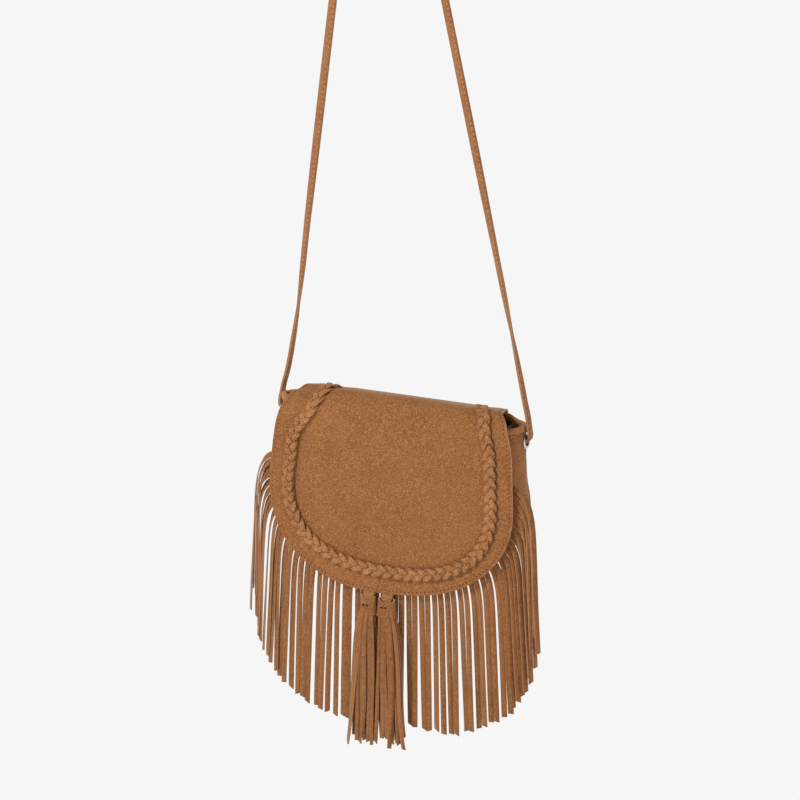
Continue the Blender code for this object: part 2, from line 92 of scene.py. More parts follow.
studio = {
    "target": (0.0156, 0, -0.4743),
    "azimuth": 25.0,
    "elevation": 17.5,
    "distance": 4.0,
    "field": 0.616,  # metres across the picture, at the bag
    "pale": "#f6f6f6",
    "floor": -1.0,
    "dome": 0.42,  # how bright the light from overhead is, beside the pale floor
    "keyFrom": (-0.75, -1.55, 1.45),
    "keySize": 0.5,
    "keyPower": 26,
}


def makeCamera():
    turn, rise = math.radians(studio["azimuth"]), math.radians(studio["elevation"])
    back = Vector((math.sin(turn) * math.cos(rise), -math.cos(turn) * math.cos(rise), math.sin(rise)))
    data = bpy.data.cameras.new("camera")
    data.sensor_width = 36
    data.lens = 18 / (studio["field"] / 2 / studio["distance"])
    data.clip_end = 200
    camera = bpy.data.objects.new("camera", data)
    camera.location = Vector(studio["target"]) + back * studio["distance"]
    camera.rotation_mode = "QUATERNION"
    camera.rotation_quaternion = (-back).to_track_quat("-Z", "Y")
    bpy.context.scene.collection.objects.link(camera)
    bpy.context.scene.camera = camera


def makeStudio():
    scene = bpy.context.scene
    scene.view_settings.view_transform = "Standard"
    world = bpy.data.worlds.new("studio")
    scene.world = world
    world.use_nodes = True
    tree = world.node_tree
    tree.nodes.clear()
    place = addNode(tree, "ShaderNodeTexCoord")
    parts = addNode(tree, "ShaderNodeSeparateXYZ", links={0: place.outputs["Generated"]})
    high = addNode(
        tree, "ShaderNodeMapRange", {"From Min": 0.22, "From Max": 0.5}, {"Value": parts.outputs["Z"]},
    )
    grey = (studio["dome"],) * 3 + (1,)
    colour = addNode(
        tree, "ShaderNodeMix", {"data_type": "RGBA", 6: hexColour(studio["pale"]), 7: grey},
        {0: high.outputs[0]},
    )
    sky = addNode(tree, "ShaderNodeBackground", links={"Color": colour.outputs[2]})
    addNode(tree, "ShaderNodeOutputWorld", links={"Surface": sky.outputs[0]})

    bm = bmesh.new()
    bmesh.ops.create_circle(bm, cap_ends=True, segments=64, radius=20)
    bmesh.ops.translate(bm, vec=(0, 0, studio["floor"]), verts=bm.verts)
    data = bpy.data.meshes.new("floor")
    bm.to_mesh(data)
    bm.free()
    floor = bpy.data.objects.new("floor", data)
    scene.collection.objects.link(floor)
    paper = bpy.data.materials.new("palePaper")
    paper.use_nodes = True
    tree = paper.node_tree
    tree.nodes.clear()
    glow = addNode(tree, "ShaderNodeEmission", {"Color": hexColour(studio["pale"])})
    addNode(tree, "ShaderNodeOutputMaterial", links={"Surface": glow.outputs[0]})
    data.materials.append(paper)

    key = bpy.data.lights.new("key", "AREA")
    key.shape = "DISK"
    key.size = studio["keySize"]
    key.energy = studio["keyPower"]
    lamp = bpy.data.objects.new("key", key)
    lamp.location = Vector(studio["keyFrom"]) + Vector(studio["target"])
    lamp.rotation_mode = "QUATERNION"
    lamp.rotation_quaternion = (-Vector(studio["keyFrom"])).to_track_quat("-Z", "Y")
    scene.collection.objects.link(lamp)


makeCamera()
makeStudio()
print("studio done")


# The materials, each in its own words.
def newMaterial(name):
    made = bpy.data.materials.new(name)
    made.use_nodes = True
    tree = made.node_tree
    shader = next(node for node in tree.nodes if node.type == "BSDF_PRINCIPLED")
    return made, tree, shader


def suede(name, dark, middle, light, fleck, sheen=0.35):
    # Split cowhide suede, buffed on the flesh side: the nap scatters light, so it has no gloss, a pale
    # bloom where it is seen edge-on, soft cloudy patches where it was brushed, and a fine fleck of
    # lit fibres. Each piece can darken or lighten it through its own toneAndShade: a random tone on the
    # strips, painted shade and light on the plait's strands.
    made, tree, shader = newMaterial(name)
    place = addNode(tree, "ShaderNodeTexCoord")
    at = {"Vector": place.outputs["Object"]}
    clouds = addNode(tree, "ShaderNodeTexNoise", {"Scale": 38, "Detail": 4, "Roughness": 0.6}, at)  # 26 mm
    mottle = addNode(tree, "ShaderNodeTexNoise", {"Scale": 420, "Detail": 5, "Roughness": 0.75}, at)  # 2.4 mm
    # The real fibres are 0.1 mm, so the grain is drawn at 0.9 mm to show.
    grain = addNode(tree, "ShaderNodeTexNoise", {"Scale": 1080, "Detail": 3, "Roughness": 0.75}, at)
    toneAndShade = addNode(tree, "ShaderNodeAttribute", {"attribute_name": "toneAndShade"})
    lifted = addNode(
        tree, "ShaderNodeMath", {"operation": "ADD"}, {0: clouds.outputs[0], 1: toneAndShade.outputs["Fac"]},
    )
    broad = addNode(
        tree, "ShaderNodeMapRange", {"From Min": 0.3, "From Max": 0.72}, {"Value": lifted.outputs[0]},
    )
    base = addNode(
        tree, "ShaderNodeMix", {"data_type": "RGBA", 6: hexColour(dark), 7: hexColour(middle)},
        {0: broad.outputs[0]},
    )
    small = addNode(
        tree, "ShaderNodeMapRange", {"From Min": 0.42, "From Max": 0.75}, {"Value": mottle.outputs[0]},
    )
    patched = addNode(
        tree, "ShaderNodeMix", {"data_type": "RGBA", 7: hexColour(light)},
        {0: small.outputs[0], 6: base.outputs[2]},
    )
    lit = addNode(
        tree, "ShaderNodeMapRange", {"From Min": 0.51, "From Max": 0.68, "To Max": 0.8},
        {"Value": grain.outputs[0]},
    )
    flecked = addNode(
        tree, "ShaderNodeMix", {"data_type": "RGBA", 7: hexColour(fleck)},
        {0: lit.outputs[0], 6: patched.outputs[2]},
    )
    pit = addNode(
        tree, "ShaderNodeMapRange", {"From Min": 0.48, "From Max": 0.33, "To Max": 0.8},
        {"Value": grain.outputs[0]},
    )
    speckled = addNode(
        tree, "ShaderNodeMix", {"data_type": "RGBA", 7: hexColour(dark)},
        {0: pit.outputs[0], 6: flecked.outputs[2]},
    )
    tree.links.new(speckled.outputs[2], shader.inputs["Base Color"])
    soft = addNode(
        tree, "ShaderNodeBump", {"Strength": 0.35, "Distance": 0.0006}, {"Height": mottle.outputs[0]},
    )
    nap = addNode(
        tree, "ShaderNodeBump", {"Strength": 0.55, "Distance": 0.0004},
        {"Height": grain.outputs[0], "Normal": soft.outputs[0]},
    )
    tree.links.new(nap.outputs[0], shader.inputs["Normal"])
    shader.inputs["Roughness"].default_value = 0.95
    shader.inputs["Specular IOR Level"].default_value = 0.15
    shader.inputs["Sheen Weight"].default_value = sheen
    shader.inputs["Sheen Roughness"].default_value = 0.45
    shader.inputs["Sheen Tint"].default_value = hexColour("#ffdcb4")
    return made


def cutEdge(name, shade, deep):
    # The raw cut side of the suede: paler loose fibres in thin layers, with no nap on it.
    made, tree, shader = newMaterial(name)
    place = addNode(tree, "ShaderNodeTexCoord")
    fibre = addNode(
        tree, "ShaderNodeTexNoise", {"Scale": 900, "Detail": 3, "Roughness": 0.7},
        {"Vector": place.outputs["Object"]},
    )
    colour = addNode(
        tree, "ShaderNodeMix", {"data_type": "RGBA", 6: hexColour(deep), 7: hexColour(shade)},
        {0: fibre.outputs[0]},
    )
    tree.links.new(colour.outputs[2], shader.inputs["Base Color"])
    rough = addNode(
        tree, "ShaderNodeBump", {"Strength": 0.5, "Distance": 0.0003}, {"Height": fibre.outputs[0]},
    )
    tree.links.new(rough.outputs[0], shader.inputs["Normal"])
    shader.inputs["Roughness"].default_value = 0.95
    shader.inputs["Specular IOR Level"].default_value = 0.15
    return made


def thread(name, shade, deep):
    # Bonded polyester thread, about 0.6 mm, two plies twisted: a faint shine and slanting dark ply lines.
    made, tree, shader = newMaterial(name)
    place = addNode(tree, "ShaderNodeTexCoord")
    ply = addNode(
        tree, "ShaderNodeTexWave", {"Scale": 1400, "bands_direction": "DIAGONAL"},
        {"Vector": place.outputs["Object"]},
    )
    colour = addNode(
        tree, "ShaderNodeMix", {"data_type": "RGBA", 6: hexColour(deep), 7: hexColour(shade)},
        {0: ply.outputs[1]},
    )
    tree.links.new(colour.outputs[2], shader.inputs["Base Color"])
    shader.inputs["Roughness"].default_value = 0.6
    return made


def holeShadeMaterial(name, shade):
    # Painted shade for needle holes and slits: a flat dark patch stands where the hole's shadow falls.
    made, tree, shader = newMaterial(name)
    place = addNode(tree, "ShaderNodeTexCoord")
    press = addNode(tree, "ShaderNodeTexNoise", {"Scale": 700}, {"Vector": place.outputs["Object"]})
    colour = addNode(
        tree, "ShaderNodeMix", {"data_type": "RGBA", 6: hexColour(shade), 7: hexColour("#5a3218")},
        {0: press.outputs[0]},
    )
    tree.links.new(colour.outputs[2], shader.inputs["Base Color"])
    shader.inputs["Roughness"].default_value = 1.0
    shader.inputs["Specular IOR Level"].default_value = 0.0
    return made


def liningCloth(name, warp, weft):
    # Plain-woven polyester lining with 0.5 mm yarns, drawn at 1 mm to show: a fine chequer and a low sheen.
    made, tree, shader = newMaterial(name)
    place = addNode(tree, "ShaderNodeTexCoord")
    across = addNode(
        tree, "ShaderNodeTexWave", {"Scale": 160, "bands_direction": "X"},
        {"Vector": place.outputs["Object"]},
    )
    down = addNode(
        tree, "ShaderNodeTexWave", {"Scale": 160, "bands_direction": "Z"},
        {"Vector": place.outputs["Object"]},
    )
    weave = addNode(
        tree, "ShaderNodeMath", {"operation": "MULTIPLY"}, {0: across.outputs[1], 1: down.outputs[1]},
    )
    colour = addNode(
        tree, "ShaderNodeMix", {"data_type": "RGBA", 6: hexColour(weft), 7: hexColour(warp)},
        {0: weave.outputs[0]},
    )
    tree.links.new(colour.outputs[2], shader.inputs["Base Color"])
    lift = addNode(
        tree, "ShaderNodeBump", {"Strength": 0.4, "Distance": 0.0002}, {"Height": weave.outputs[0]},
    )
    tree.links.new(lift.outputs[0], shader.inputs["Normal"])
    shader.inputs["Roughness"].default_value = 0.7
    shader.inputs["Sheen Weight"].default_value = 0.15
    return made


def nickel(name):
    # Nickel-plated steel, stamped and barrel-polished: bright, with faint tumbling marks.
    made, tree, shader = newMaterial(name)
    place = addNode(tree, "ShaderNodeTexCoord")
    marks = addNode(
        tree, "ShaderNodeTexNoise", {"Scale": 800, "Detail": 4}, {"Vector": place.outputs["Object"]},
    )
    rough = addNode(
        tree, "ShaderNodeMapRange", {"To Min": 0.14, "To Max": 0.34}, {"Value": marks.outputs[0]},
    )
    colour = addNode(
        tree, "ShaderNodeMix", {"data_type": "RGBA", 6: hexColour("#b9bdc4"), 7: hexColour("#d9dadb")},
        {0: marks.outputs[0]},
    )
    tree.links.new(colour.outputs[2], shader.inputs["Base Color"])
    tree.links.new(rough.outputs[0], shader.inputs["Roughness"])
    shader.inputs["Metallic"].default_value = 1.0
    return made


bodySuede = suede("bodySuede", "#7d4a27", "#955f38", "#a87042", "#cb945b")
fringeSuede = suede("fringeSuede", "#7b4b2a", "#966039", "#a56f44", "#bd8a58")
# The plait's dark colour is deep because it also paints the shade where its strands dive under one another.
plaitSuede = suede("plaitSuede", "#6c3c1f", "#a86d43", "#bc8454", "#dba573", 0.45)
rollSuede = suede("rollSuede", "#8a552d", "#aa7141", "#bd8450", "#d6a36a", 0.45)
edgeSuede = cutEdge("edgeSuede", "#dcb08a", "#b9855c")
edgeDark = cutEdge("edgeDark", "#c2936c", "#966443")
strapSuede = suede("strapSuede", "#845234", "#9c6742", "#ab764d", "#c4925f", 0.3)
tabSuede = suede("tabSuede", "#83552b", "#9f703f", "#ae7f4b", "#c99a62")
tanThread = thread("tanThread", "#b9794a", "#8d5530")
paleThread = thread("paleThread", "#d0a066", "#a87644")
# The dark of the stitch holes and the tassel slits is painted shade.
holeShade = holeShadeMaterial("holeShade", "#2f170a")
brownCloth = liningCloth("brownCloth", "#6d4a33", "#503423")
brightNickel = nickel("brightNickel")
print("materials done")


# Lines and shapes that several pieces share.
def ease(value):
    value = min(1, max(0, value))
    return value * value * (3 - 2 * value)


def smoothThrough(points, step):
    spots = [Vector(p) for p in points]
    spans = [after - before for before, after in zip(spots, spots[1:])]
    ways = [spans[0].normalized()]
    for come, go in zip(spans, spans[1:]):
        weight = come.length / (come.length + go.length)
        ways.append(come.normalized() * (1 - weight) + go.normalized() * weight)
    ways.append(spans[-1].normalized())
    run = [spots[0]]
    for i, span in enumerate(spans):
        count = max(2, round(span.length / step))
        for k in range(1, count + 1):
            t = k / count
            start = ways[i] * span.length * (t - 2 * t**2 + t**3)
            stop = ways[i + 1] * span.length * (t**3 - t**2)
            run.append(spots[i] + span * (3 * t**2 - 2 * t**3) + start + stop)
    return run


def halfU(top, half, wide, bottom, steps=36, step=0.003):
    # The right half of a U, from its top down its side and round the bowl to the tip.
    run = smoothThrough(top + [(half, wide)], step)
    for i in range(1, steps + 1):
        turn = math.radians(90) * i / steps
        across = half * max(0, math.cos(turn)) ** (2 / bag["bowlPower"])
        down = (wide - bottom) * math.sin(turn) ** (2 / bag["bowlPower"])
        run.append(Vector((across if i < steps else 0, wide - down)))
    return run


def wholeU(half):
    return half + [Vector((-p.x, p.y)) for p in reversed(half[:-1])]


def inset(outline, distance):
    moved = []
    for i, spot in enumerate(outline):
        way = (outline[min(i + 1, len(outline) - 1)] - outline[max(i - 1, 0)]).normalized()
        moved.append(spot + Vector((way.y, -way.x)) * distance)
    return moved


def runner(points):
    # The point at any length along a run, and the run's whole length.
    gone = [0]
    for before, after in zip(points, points[1:]):
        gone.append(gone[-1] + (after - before).length)
    marks = np.array(gone)

    def at(length):
        i = int(min(len(points) - 2, max(0, np.searchsorted(marks, length) - 1)))
        return points[i].lerp(points[i + 1], (length - gone[i]) / (gone[i + 1] - gone[i]))

    return at, gone[-1]


def gapsTo(outline, spots):
    # How far each spot is from an outline, in the flat.
    a = np.array([p[:] for p in outline[:-1]])
    b = np.array([p[:] for p in outline[1:]])
    s = np.array([p[:] for p in spots])
    way = b - a
    share = np.clip(((s[:, None] - a) * way).sum(2) / (way * way).sum(1), 0, 1)
    return np.linalg.norm(s[:, None] - (a + share[..., None] * way), axis=2).min(1)


def sweep(bm, stations, section, loop=False):
    # A tube: section, as (wide, high) pairs, at every station of (centre, wide way, high way).
    rows, sides = len(stations) - (0 if loop else 1), len(section)
    made = bmesh.ops.create_grid(bm, x_segments=rows, y_segments=sides, size=0.5)["verts"]
    spots = {}
    weld = {}
    for vert in made:
        i = round((vert.co.x + 0.5) * rows) % len(stations)
        j = round((vert.co.y + 0.5) * sides) % sides
        centre, wide, high = stations[i]
        vert.co = centre + wide * section[j][0] + high * section[j][1]
        if (i, j) in spots:
            weld[vert] = spots[i, j]
        else:
            spots[i, j] = vert
    bmesh.ops.weld_verts(bm, targetmap=weld)
    if not loop:
        ends = {edge for vert in spots.values() for edge in vert.link_edges if edge.is_boundary}
        bmesh.ops.edgeloop_fill(bm, edges=list(ends))
    return spots


def facesOf(verts):
    return {face for vert in verts for face in vert.link_faces}


def gather(bm, part):
    # Adds a small bmesh to a big one. An operator takes longer the bigger its bmesh, so small shapes
    # are made apart.
    bmesh.ops.recalc_face_normals(part, faces=part.faces)
    data = bpy.data.meshes.new("part")
    part.to_mesh(data)
    part.free()
    bm.from_mesh(data)
    bpy.data.meshes.remove(data)


def uSheet(bm, half, columns, place):
    # A sheet cut to a U. place(across, up, gap) sets each point, where gap is how far in from the edge it is.
    rows = len(half) - 1
    made = bmesh.ops.create_grid(bm, x_segments=columns, y_segments=rows, size=0.5)["verts"]
    spots = []
    for vert in made:
        side = 2 * vert.co.x
        row = half[round((0.5 - vert.co.y) * rows)]
        spots.append(Vector(((1.35 * side - 0.35 * side**3) * row.x, row.y)))
    for vert, spot, gap in zip(made, spots, gapsTo(wholeU(half), spots)):
        vert.co = place(spot.x, spot.y, float(gap))
    bmesh.ops.remove_doubles(bm, verts=made, dist=1e-6)


pouchCentre = Vector((0, 0, -0.08))


def faceAway(bm, centre):
    # An open sheet's faces look away from a point inside the bag.
    bmesh.ops.recalc_face_normals(bm, faces=bm.faces)
    away = sum(f.calc_area() * f.normal.dot(f.calc_center_median() - centre) for f in bm.faces)
    if away < 0:
        bmesh.ops.reverse_faces(bm, faces=bm.faces)


def makePiece(name, bm, materials):
    bmesh.ops.translate(bm, vec=bagPlace, verts=bm.verts)
    data = bpy.data.meshes.new(name)
    bm.to_mesh(data)
    bm.free()
    for material in materials:
        data.materials.append(material)
    data.shade_smooth()
    obj = bpy.data.objects.new(name, data)
    bpy.context.scene.collection.objects.link(obj)
    return obj


def thicken(obj, thickness, rim=1, corner=0.0003):
    solid = obj.modifiers.new("thickness", "SOLIDIFY")
    solid.thickness = thickness
    solid.offset = -1
    solid.use_even_offset = True
    solid.material_offset_rim = rim
    soften = obj.modifiers.new("softEdge", "BEVEL")
    soften.width = corner
    soften.segments = 2
    soften.limit_method = "ANGLE"
    soften.angle_limit = math.radians(50)


stitch = {"pitch": 0.0034, "length": 0.0024, "width": 0.0007, "height": 0.0004, "hole": 0.00048}


def stitchRow(bm, frames, settings):
    # frames are (place, way along, way out) of each stitch. Thread takes the first material, and the holes,
    # flat dark patches of painted shade, take the second.
    for place, along, out in frames:
        side = along.cross(out).normalized()
        part = bmesh.new()
        for size, shift, slot in (
            ((settings["length"] / 2, settings["width"] / 2, settings["height"]), 0, 0),
            ((settings["hole"], settings["hole"], settings["hole"] * 0.4), settings["pitch"] / 2, 1),
        ):
            ball = bmesh.ops.create_uvsphere(part, u_segments=8, v_segments=5, radius=1)["verts"]
            for vert in ball:
                x, y, z = vert.co
                vert.co = place + along * (x * size[0] + shift) + side * (y * size[1]) + out * (z * size[2])
            for face in facesOf(ball):
                face.material_index = slot
        gather(bm, part)


def framesAlong(run, pitch, place, skip=lambda spot: False):
    # Stitch frames along a flat run, through place(across, up, out), which lays a flat point on its piece.
    at, length = runner(run)
    frames = []
    for k in range(int(length / pitch)):
        spot, ahead = at((k + 0.5) * pitch), at((k + 0.6) * pitch)
        if skip(spot):
            continue
        here = place(spot.x, spot.y, 0)
        out = (place(spot.x, spot.y, 0.001) - here).normalized()
        frames.append((here, (place(ahead.x, ahead.y, 0) - here).normalized(), out))
    return frames


stripSection = [(-0.94, -1), (0.94, -1), (1, -0.5), (1, 0.5), (0.94, 1), (-0.94, 1), (-1, 0.5), (-1, -0.5)]


def strip(bm, stations, toneAndShade, tip=0.0):
    # A cut strip of suede: its faces take the first material, its cut sides and end the second.
    part = bmesh.new()
    layer = part.verts.layers.float.new("toneAndShade")
    spots = sweep(part, stations, stripSection)
    last = len(stations) - 1
    way = (stations[-1][0] - stations[-2][0]).normalized()
    for (i, j), vert in spots.items():
        vert[layer] = toneAndShade
        if i == last:
            vert.co += way * stripSection[j][0] * tip
    number = {vert: j for (i, j), vert in spots.items()}
    for face in facesOf(spots.values()):
        sides = {number[vert] for vert in face.verts}
        if sides <= {1, 2, 3, 4} or sides <= {5, 6, 7, 0} or len(face.verts) > 4:
            face.material_index = 1
            face.smooth = False
    gather(bm, part)


# The pouch: two panels, a gusset, a lining and a rolled binding.
panelHalfRun = halfU(bag["panelTop"], bag["panelHalf"], bag["panelWide"], bag["panelBottom"])
panelRun = wholeU(panelHalfRun)


drawn = {
    "from": 0.0760,  # the mouth keeps its whole depth out to here
    "over": 0.0200,
    "back": 0.48,  # share of the depth that its ends lose, behind and, on the left, in front
    "front": 0.45,
    "backFoot": -0.1100,  # the heights where the two die out
    "frontFoot": -0.0480,
}


def pinch(spot):
    # The strap draws the mouth in at its two ends.
    ends = ease((abs(spot.x) - drawn["from"]) / drawn["over"])
    if spot.x > 0 or spot.y > 0:
        ends *= ease((spot.z - drawn["backFoot"]) / 0.060) * ease(spot.y / 0.006)
        deep = spot.y * (1 - drawn["back"] * ends)
        return Vector((spot.x * (1 - 0.012 * ends), deep, spot.z - 0.0010 * ends))
    ends *= ease((spot.z - drawn["frontFoot"]) / 0.028)
    return Vector((spot.x * (1 - 0.006 * ends), spot.y * (1 - drawn["front"] * ends), spot.z))


def makePanel(name, y, out, node):
    # out is -1 for the front and 1 for the back. A turned seam edge runs round the panel's U.
    bm = bmesh.new()

    def place(across, up, gap):
        swell = 0.0011 * ease(gap / 0.05) * (1 if out > 0 else 0.1)
        wave = 0.0005 * noise.noise(Vector((across * 30, up * 30, out))) * ease(gap / 0.02)
        return pinch(Vector((across, y + out * (swell + wave), up)))

    uSheet(bm, panelHalfRun, 40, place)
    faceAway(bm, pouchCentre)
    obj = makePiece(name, bm, [bodySuede, edgeSuede])
    thicken(obj, bag["wall"])
    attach(obj, "bag")
    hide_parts(node)

    bm = bmesh.new()
    at, length = runner(panelRun)
    stations = []
    for k in range(161):
        here, ahead = at(length * k / 160), at(length * min(1, (k + 0.5) / 160) + (0 if k < 160 else 1e-4))
        way = ahead - here if (ahead - here).length > 1e-6 else here - at(length * 0.995)
        way = Vector((way.x, 0, way.y)).normalized()
        across = way.cross(Vector((0, 1, 0)))
        grow = 1 + 0.06 * noise.noise(Vector((k * 0.5, out, 0)))
        centre = pinch(Vector((here.x, y - out * 0.0005, here.y)))
        stations.append((centre, across * grow, Vector((0, 1, 0)) * grow))
    circle = [(0.0012 * math.cos(a), 0.0011 * math.sin(a)) for a in [math.tau * i / 8 for i in range(8)]]
    sweep(bm, stations, circle)
    bmesh.ops.recalc_face_normals(bm, faces=bm.faces)
    seam = makePiece(name + "SeamEdge", bm, [bodySuede])
    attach(seam, "bag")


def gussetSpot(i, share):
    # A point of the gusset: share runs from the front edge at 0 to the back edge at 1.
    seam = panelRun[i]
    outward = -(inset(panelRun[max(0, i - 1):i + 2], 1.0)[min(i, 1)] - seam)
    turn = math.radians(180) * (share - 0.5)
    bulge = outward * bag["bulge"]
    if seam.y > bag["panelWide"]:
        bulge = Vector((math.copysign(bag["gussetEnd"], seam.x) - seam.x, 0))
    spot = seam + bulge * math.cos(turn)
    return pinch(Vector((spot.x, bag["gussetDepth"] * math.sin(turn), spot.y)))


def makeGusset():
    bm = bmesh.new()
    rows = len(panelRun) - 1
    made = bmesh.ops.create_grid(bm, x_segments=rows, y_segments=14, size=0.5)["verts"]
    for vert in made:
        i = round((vert.co.x + 0.5) * rows)
        share = vert.co.y + 0.5
        spot = gussetSpot(i, share)
        calm = ease((-0.045 - panelRun[i].y) / 0.03) * math.sin(math.pi * share)
        dent = 0.0012 * calm * noise.noise(Vector((spot.x * 22, spot.y * 30, spot.z * 22)))
        vert.co = spot + (spot - pouchCentre).normalized() * (dent - 0.0004 * calm)
    faceAway(bm, pouchCentre)
    obj = makePiece("gussetStrip", bm, [bodySuede, edgeSuede])
    thicken(obj, bag["wall"])
    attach(obj, "bag")
    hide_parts("gusset")


lining = {
    "inside": 0.0024,  # how far it stays inside the panels' edge
    "depth": 0.0182,  # half of it
    "slack": 0.0016,
    "thick": 0.0006,
}


def makeLining():
    bm = bmesh.new()
    low = bag["panelBottom"] + lining["inside"]
    half = halfU(bag["panelTop"], bag["panelHalf"] - lining["inside"], bag["panelWide"], low)
    half[0].x -= 0.002
    for y in (-lining["depth"], lining["depth"]):

        def clothPlace(across, up, gap):
            slack = math.copysign(lining["slack"], y) * ease(gap / 0.03)
            return pinch(Vector((across, y - slack * noise.noise(Vector((across * 40, y, up * 40))), up)))

        uSheet(bm, half, 30, clothPlace)
    whole = wholeU(half)
    made = bmesh.ops.create_grid(bm, x_segments=len(whole) - 1, y_segments=8, size=0.5)["verts"]
    for vert in made:
        spot = whole[round((vert.co.x + 0.5) * (len(whole) - 1))]
        turn = math.pi * vert.co.y
        out = 1 + 0.02 * math.cos(turn) * ease((spot.y + 0.08) / 0.04)
        vert.co = pinch(Vector((spot.x * out, lining["depth"] * math.sin(turn), spot.y)))
    bmesh.ops.remove_doubles(bm, verts=bm.verts, dist=2e-5)
    faceAway(bm, pouchCentre)
    obj = makePiece("liningPouch", bm, [brownCloth])
    thicken(obj, lining["thick"], 0, 0.0001)
    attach(obj, "bag")
    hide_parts("lining")


binding = {
    "straight": 0.0880,
    "reach": 0.0143,
    "depth": 0.0206,
    "top": -0.0112,
    "tall": 0.0062,
    "thick": 0.0046,
}


def bindingRun(grow=0.0, steps=22):
    run = []
    for side in (1, -1):
        for i in range(steps + 1):
            turn = math.pi * (i / steps - 0.5)
            run.append(Vector((
                side * (binding["straight"] + (binding["reach"] + grow) * math.cos(turn)),
                side * (binding["depth"] + grow) * math.sin(turn),
            )))
        for i in range(1, 24):
            across = side * binding["straight"] * (1 - 2 * i / 24)
            run.append(Vector((across, side * (binding["depth"] + grow))))
    return run


def makeBinding():
    # A strip of suede rolled over the mouth's edge, and its row of stitches outside.
    run = bindingRun()
    stations = []
    for i, spot in enumerate(run):
        way = run[(i + 1) % len(run)] - run[i - 1]
        out = Vector((way.y, -way.x, 0)).normalized()
        wave = 0.0004 * noise.noise(Vector((spot.x * 40, spot.y * 40, 2)))
        centre = pinch(Vector((spot.x, spot.y, binding["top"] - binding["tall"] / 2 + wave)))
        stations.append((centre, out, Vector((0, 0, 1))))
    section = []
    for i in range(14):
        turn = math.tau * i / 14
        thick = binding["thick"] / 2 * (1 if math.sin(turn) > -0.3 else 0.9)
        section.append((
            math.copysign(abs(math.cos(turn)) ** 0.7 * thick, math.cos(turn)),
            math.copysign(abs(math.sin(turn)) ** 0.8 * binding["tall"] / 2, math.sin(turn)),
        ))
    bm = bmesh.new()
    sweep(bm, stations, section, loop=True)
    bmesh.ops.recalc_face_normals(bm, faces=bm.faces)
    obj = makePiece("mouthRoll", bm, [rollSuede])
    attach(obj, "bag")
    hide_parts("mouth_binding")

    outer = bindingRun(binding["thick"] / 2 - 0.0001, 60)
    at, length = runner(outer + outer[:1])
    frames = []
    height = binding["top"] - binding["tall"] + 0.0012
    for k in range(int(length / stitch["pitch"])):
        here, ahead = at((k + 0.5) * stitch["pitch"]), at((k + 0.7) * stitch["pitch"])
        along = (ahead - here).normalized()
        along = Vector((along.x, along.y, 0))
        frames.append((pinch(Vector((here.x, here.y, height))), along, Vector((along.y, -along.x, 0))))
    bm = bmesh.new()
    stitchRow(bm, frames, stitch)
    sewn = makePiece("mouthStitches", bm, [tanThread, holeShade])
    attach(sewn, "bag")


makePanel("pouchFront", bag["frontY"], -1, "front_panel")
makePanel("pouchBack", bag["backY"], 1, "back_panel")
makeGusset()
makeLining()
makeBinding()
print("pouch done")


# The flap: a flat pattern bent over the fold, with a tab sewn down on the back.
fold = {
    "faceY": -0.0285,
    "radius": 0.0160,
    "rise": math.radians(15),
    "rearY": 0.0208,
    "half": 0.1025,
    "wide": -0.0720,
    "bottom": -0.1538,
    "tabRadius": 0.0050,
    "tabLength": 0.024,
    "tabRows": (0.011, 0.019),  # two rows of stitches hold the tab on the back
    "facingShort": 0.009,  # the facing stops this far inside the edge
    "swell": 0.0016,  # how far the middle stands proud
    "curl": 0.0009,  # how far the edge turns down
    "stitchIn": 0.0027,
    "aside": 0.0014,  # how far the flap hangs off centre, and the more its shoulders do
    "shoulders": 0.0035,
    "sink": 0.0048,  # of the left shoulder
    "hemLow": 0.0033,  # how much fuller the hem is cut on the left
}
risePlan = fold["rearY"] - fold["faceY"] - fold["radius"] * (1 + math.sin(fold["rise"]))
fold["riseLength"] = risePlan / math.cos(fold["rise"])
fold["arcLength"] = fold["radius"] * (math.radians(90) + fold["rise"])


def settle(spot):
    # The flap hangs a little to one side, and its left shoulder sinks past the plait.
    front = ease((-0.011 - spot.y) / 0.014)
    right = ease((spot.x + 0.095) / 0.110)
    shoulder = fold["shoulders"] * (0.25 + 0.75 * right) * ease((spot.z + 0.075) / 0.060)
    push = (fold["aside"] * right + shoulder) * front
    sink = ease((-spot.x - 0.061) / 0.013) * ease((spot.z + 0.030) / 0.025) * ease((0.002 - spot.y) / 0.012)
    return Vector((spot.x + push, spot.y, spot.z - fold["sink"] * sink))


def foldPlace(across, along, offset):
    return settle(bendPlace(across, along, offset))


def bendPlace(across, along, offset):
    # From the flat pattern to the folded flap. along is 0 at the back seam, less down the flap and
    # more on the tab.
    centre = Vector((fold["faceY"] + fold["radius"], -fold["radius"]))
    gone = -along
    rise = fold["rise"]
    if gone < 0:
        out = Vector((math.sin(rise), math.cos(rise)))
        down = Vector((math.cos(rise), -math.sin(rise)))
        start = centre + out * fold["radius"] + down * fold["riseLength"]
        turned = min(math.radians(75), along / fold["tabRadius"])
        middle = start - out * fold["tabRadius"]
        away = Vector((math.sin(rise + turned), math.cos(rise + turned)))
        spot = middle + away * (fold["tabRadius"] + offset)
        left = along - turned * fold["tabRadius"]
        return Vector((across, spot.x - 0.0015 * ease(left / 0.009), spot.y - left))
    if gone < fold["riseLength"]:
        back = fold["riseLength"] - gone
        high = fold["radius"] + offset
        y = centre.x + high * math.sin(rise) + back * math.cos(rise)
        z = centre.y + high * math.cos(rise) - back * math.sin(rise)
        return Vector((across, y, z))
    if gone < fold["riseLength"] + fold["arcLength"]:
        turn = (gone - fold["riseLength"]) / fold["radius"] - rise
        high = fold["radius"] + offset
        return Vector((across, centre.x - high * math.sin(turn), centre.y + high * math.cos(turn)))
    down = gone - fold["riseLength"] - fold["arcLength"]
    return Vector((across, fold["faceY"] - offset, centre.y - down))


def patternOf(up):
    return up + fold["radius"] - fold["riseLength"] - fold["arcLength"]


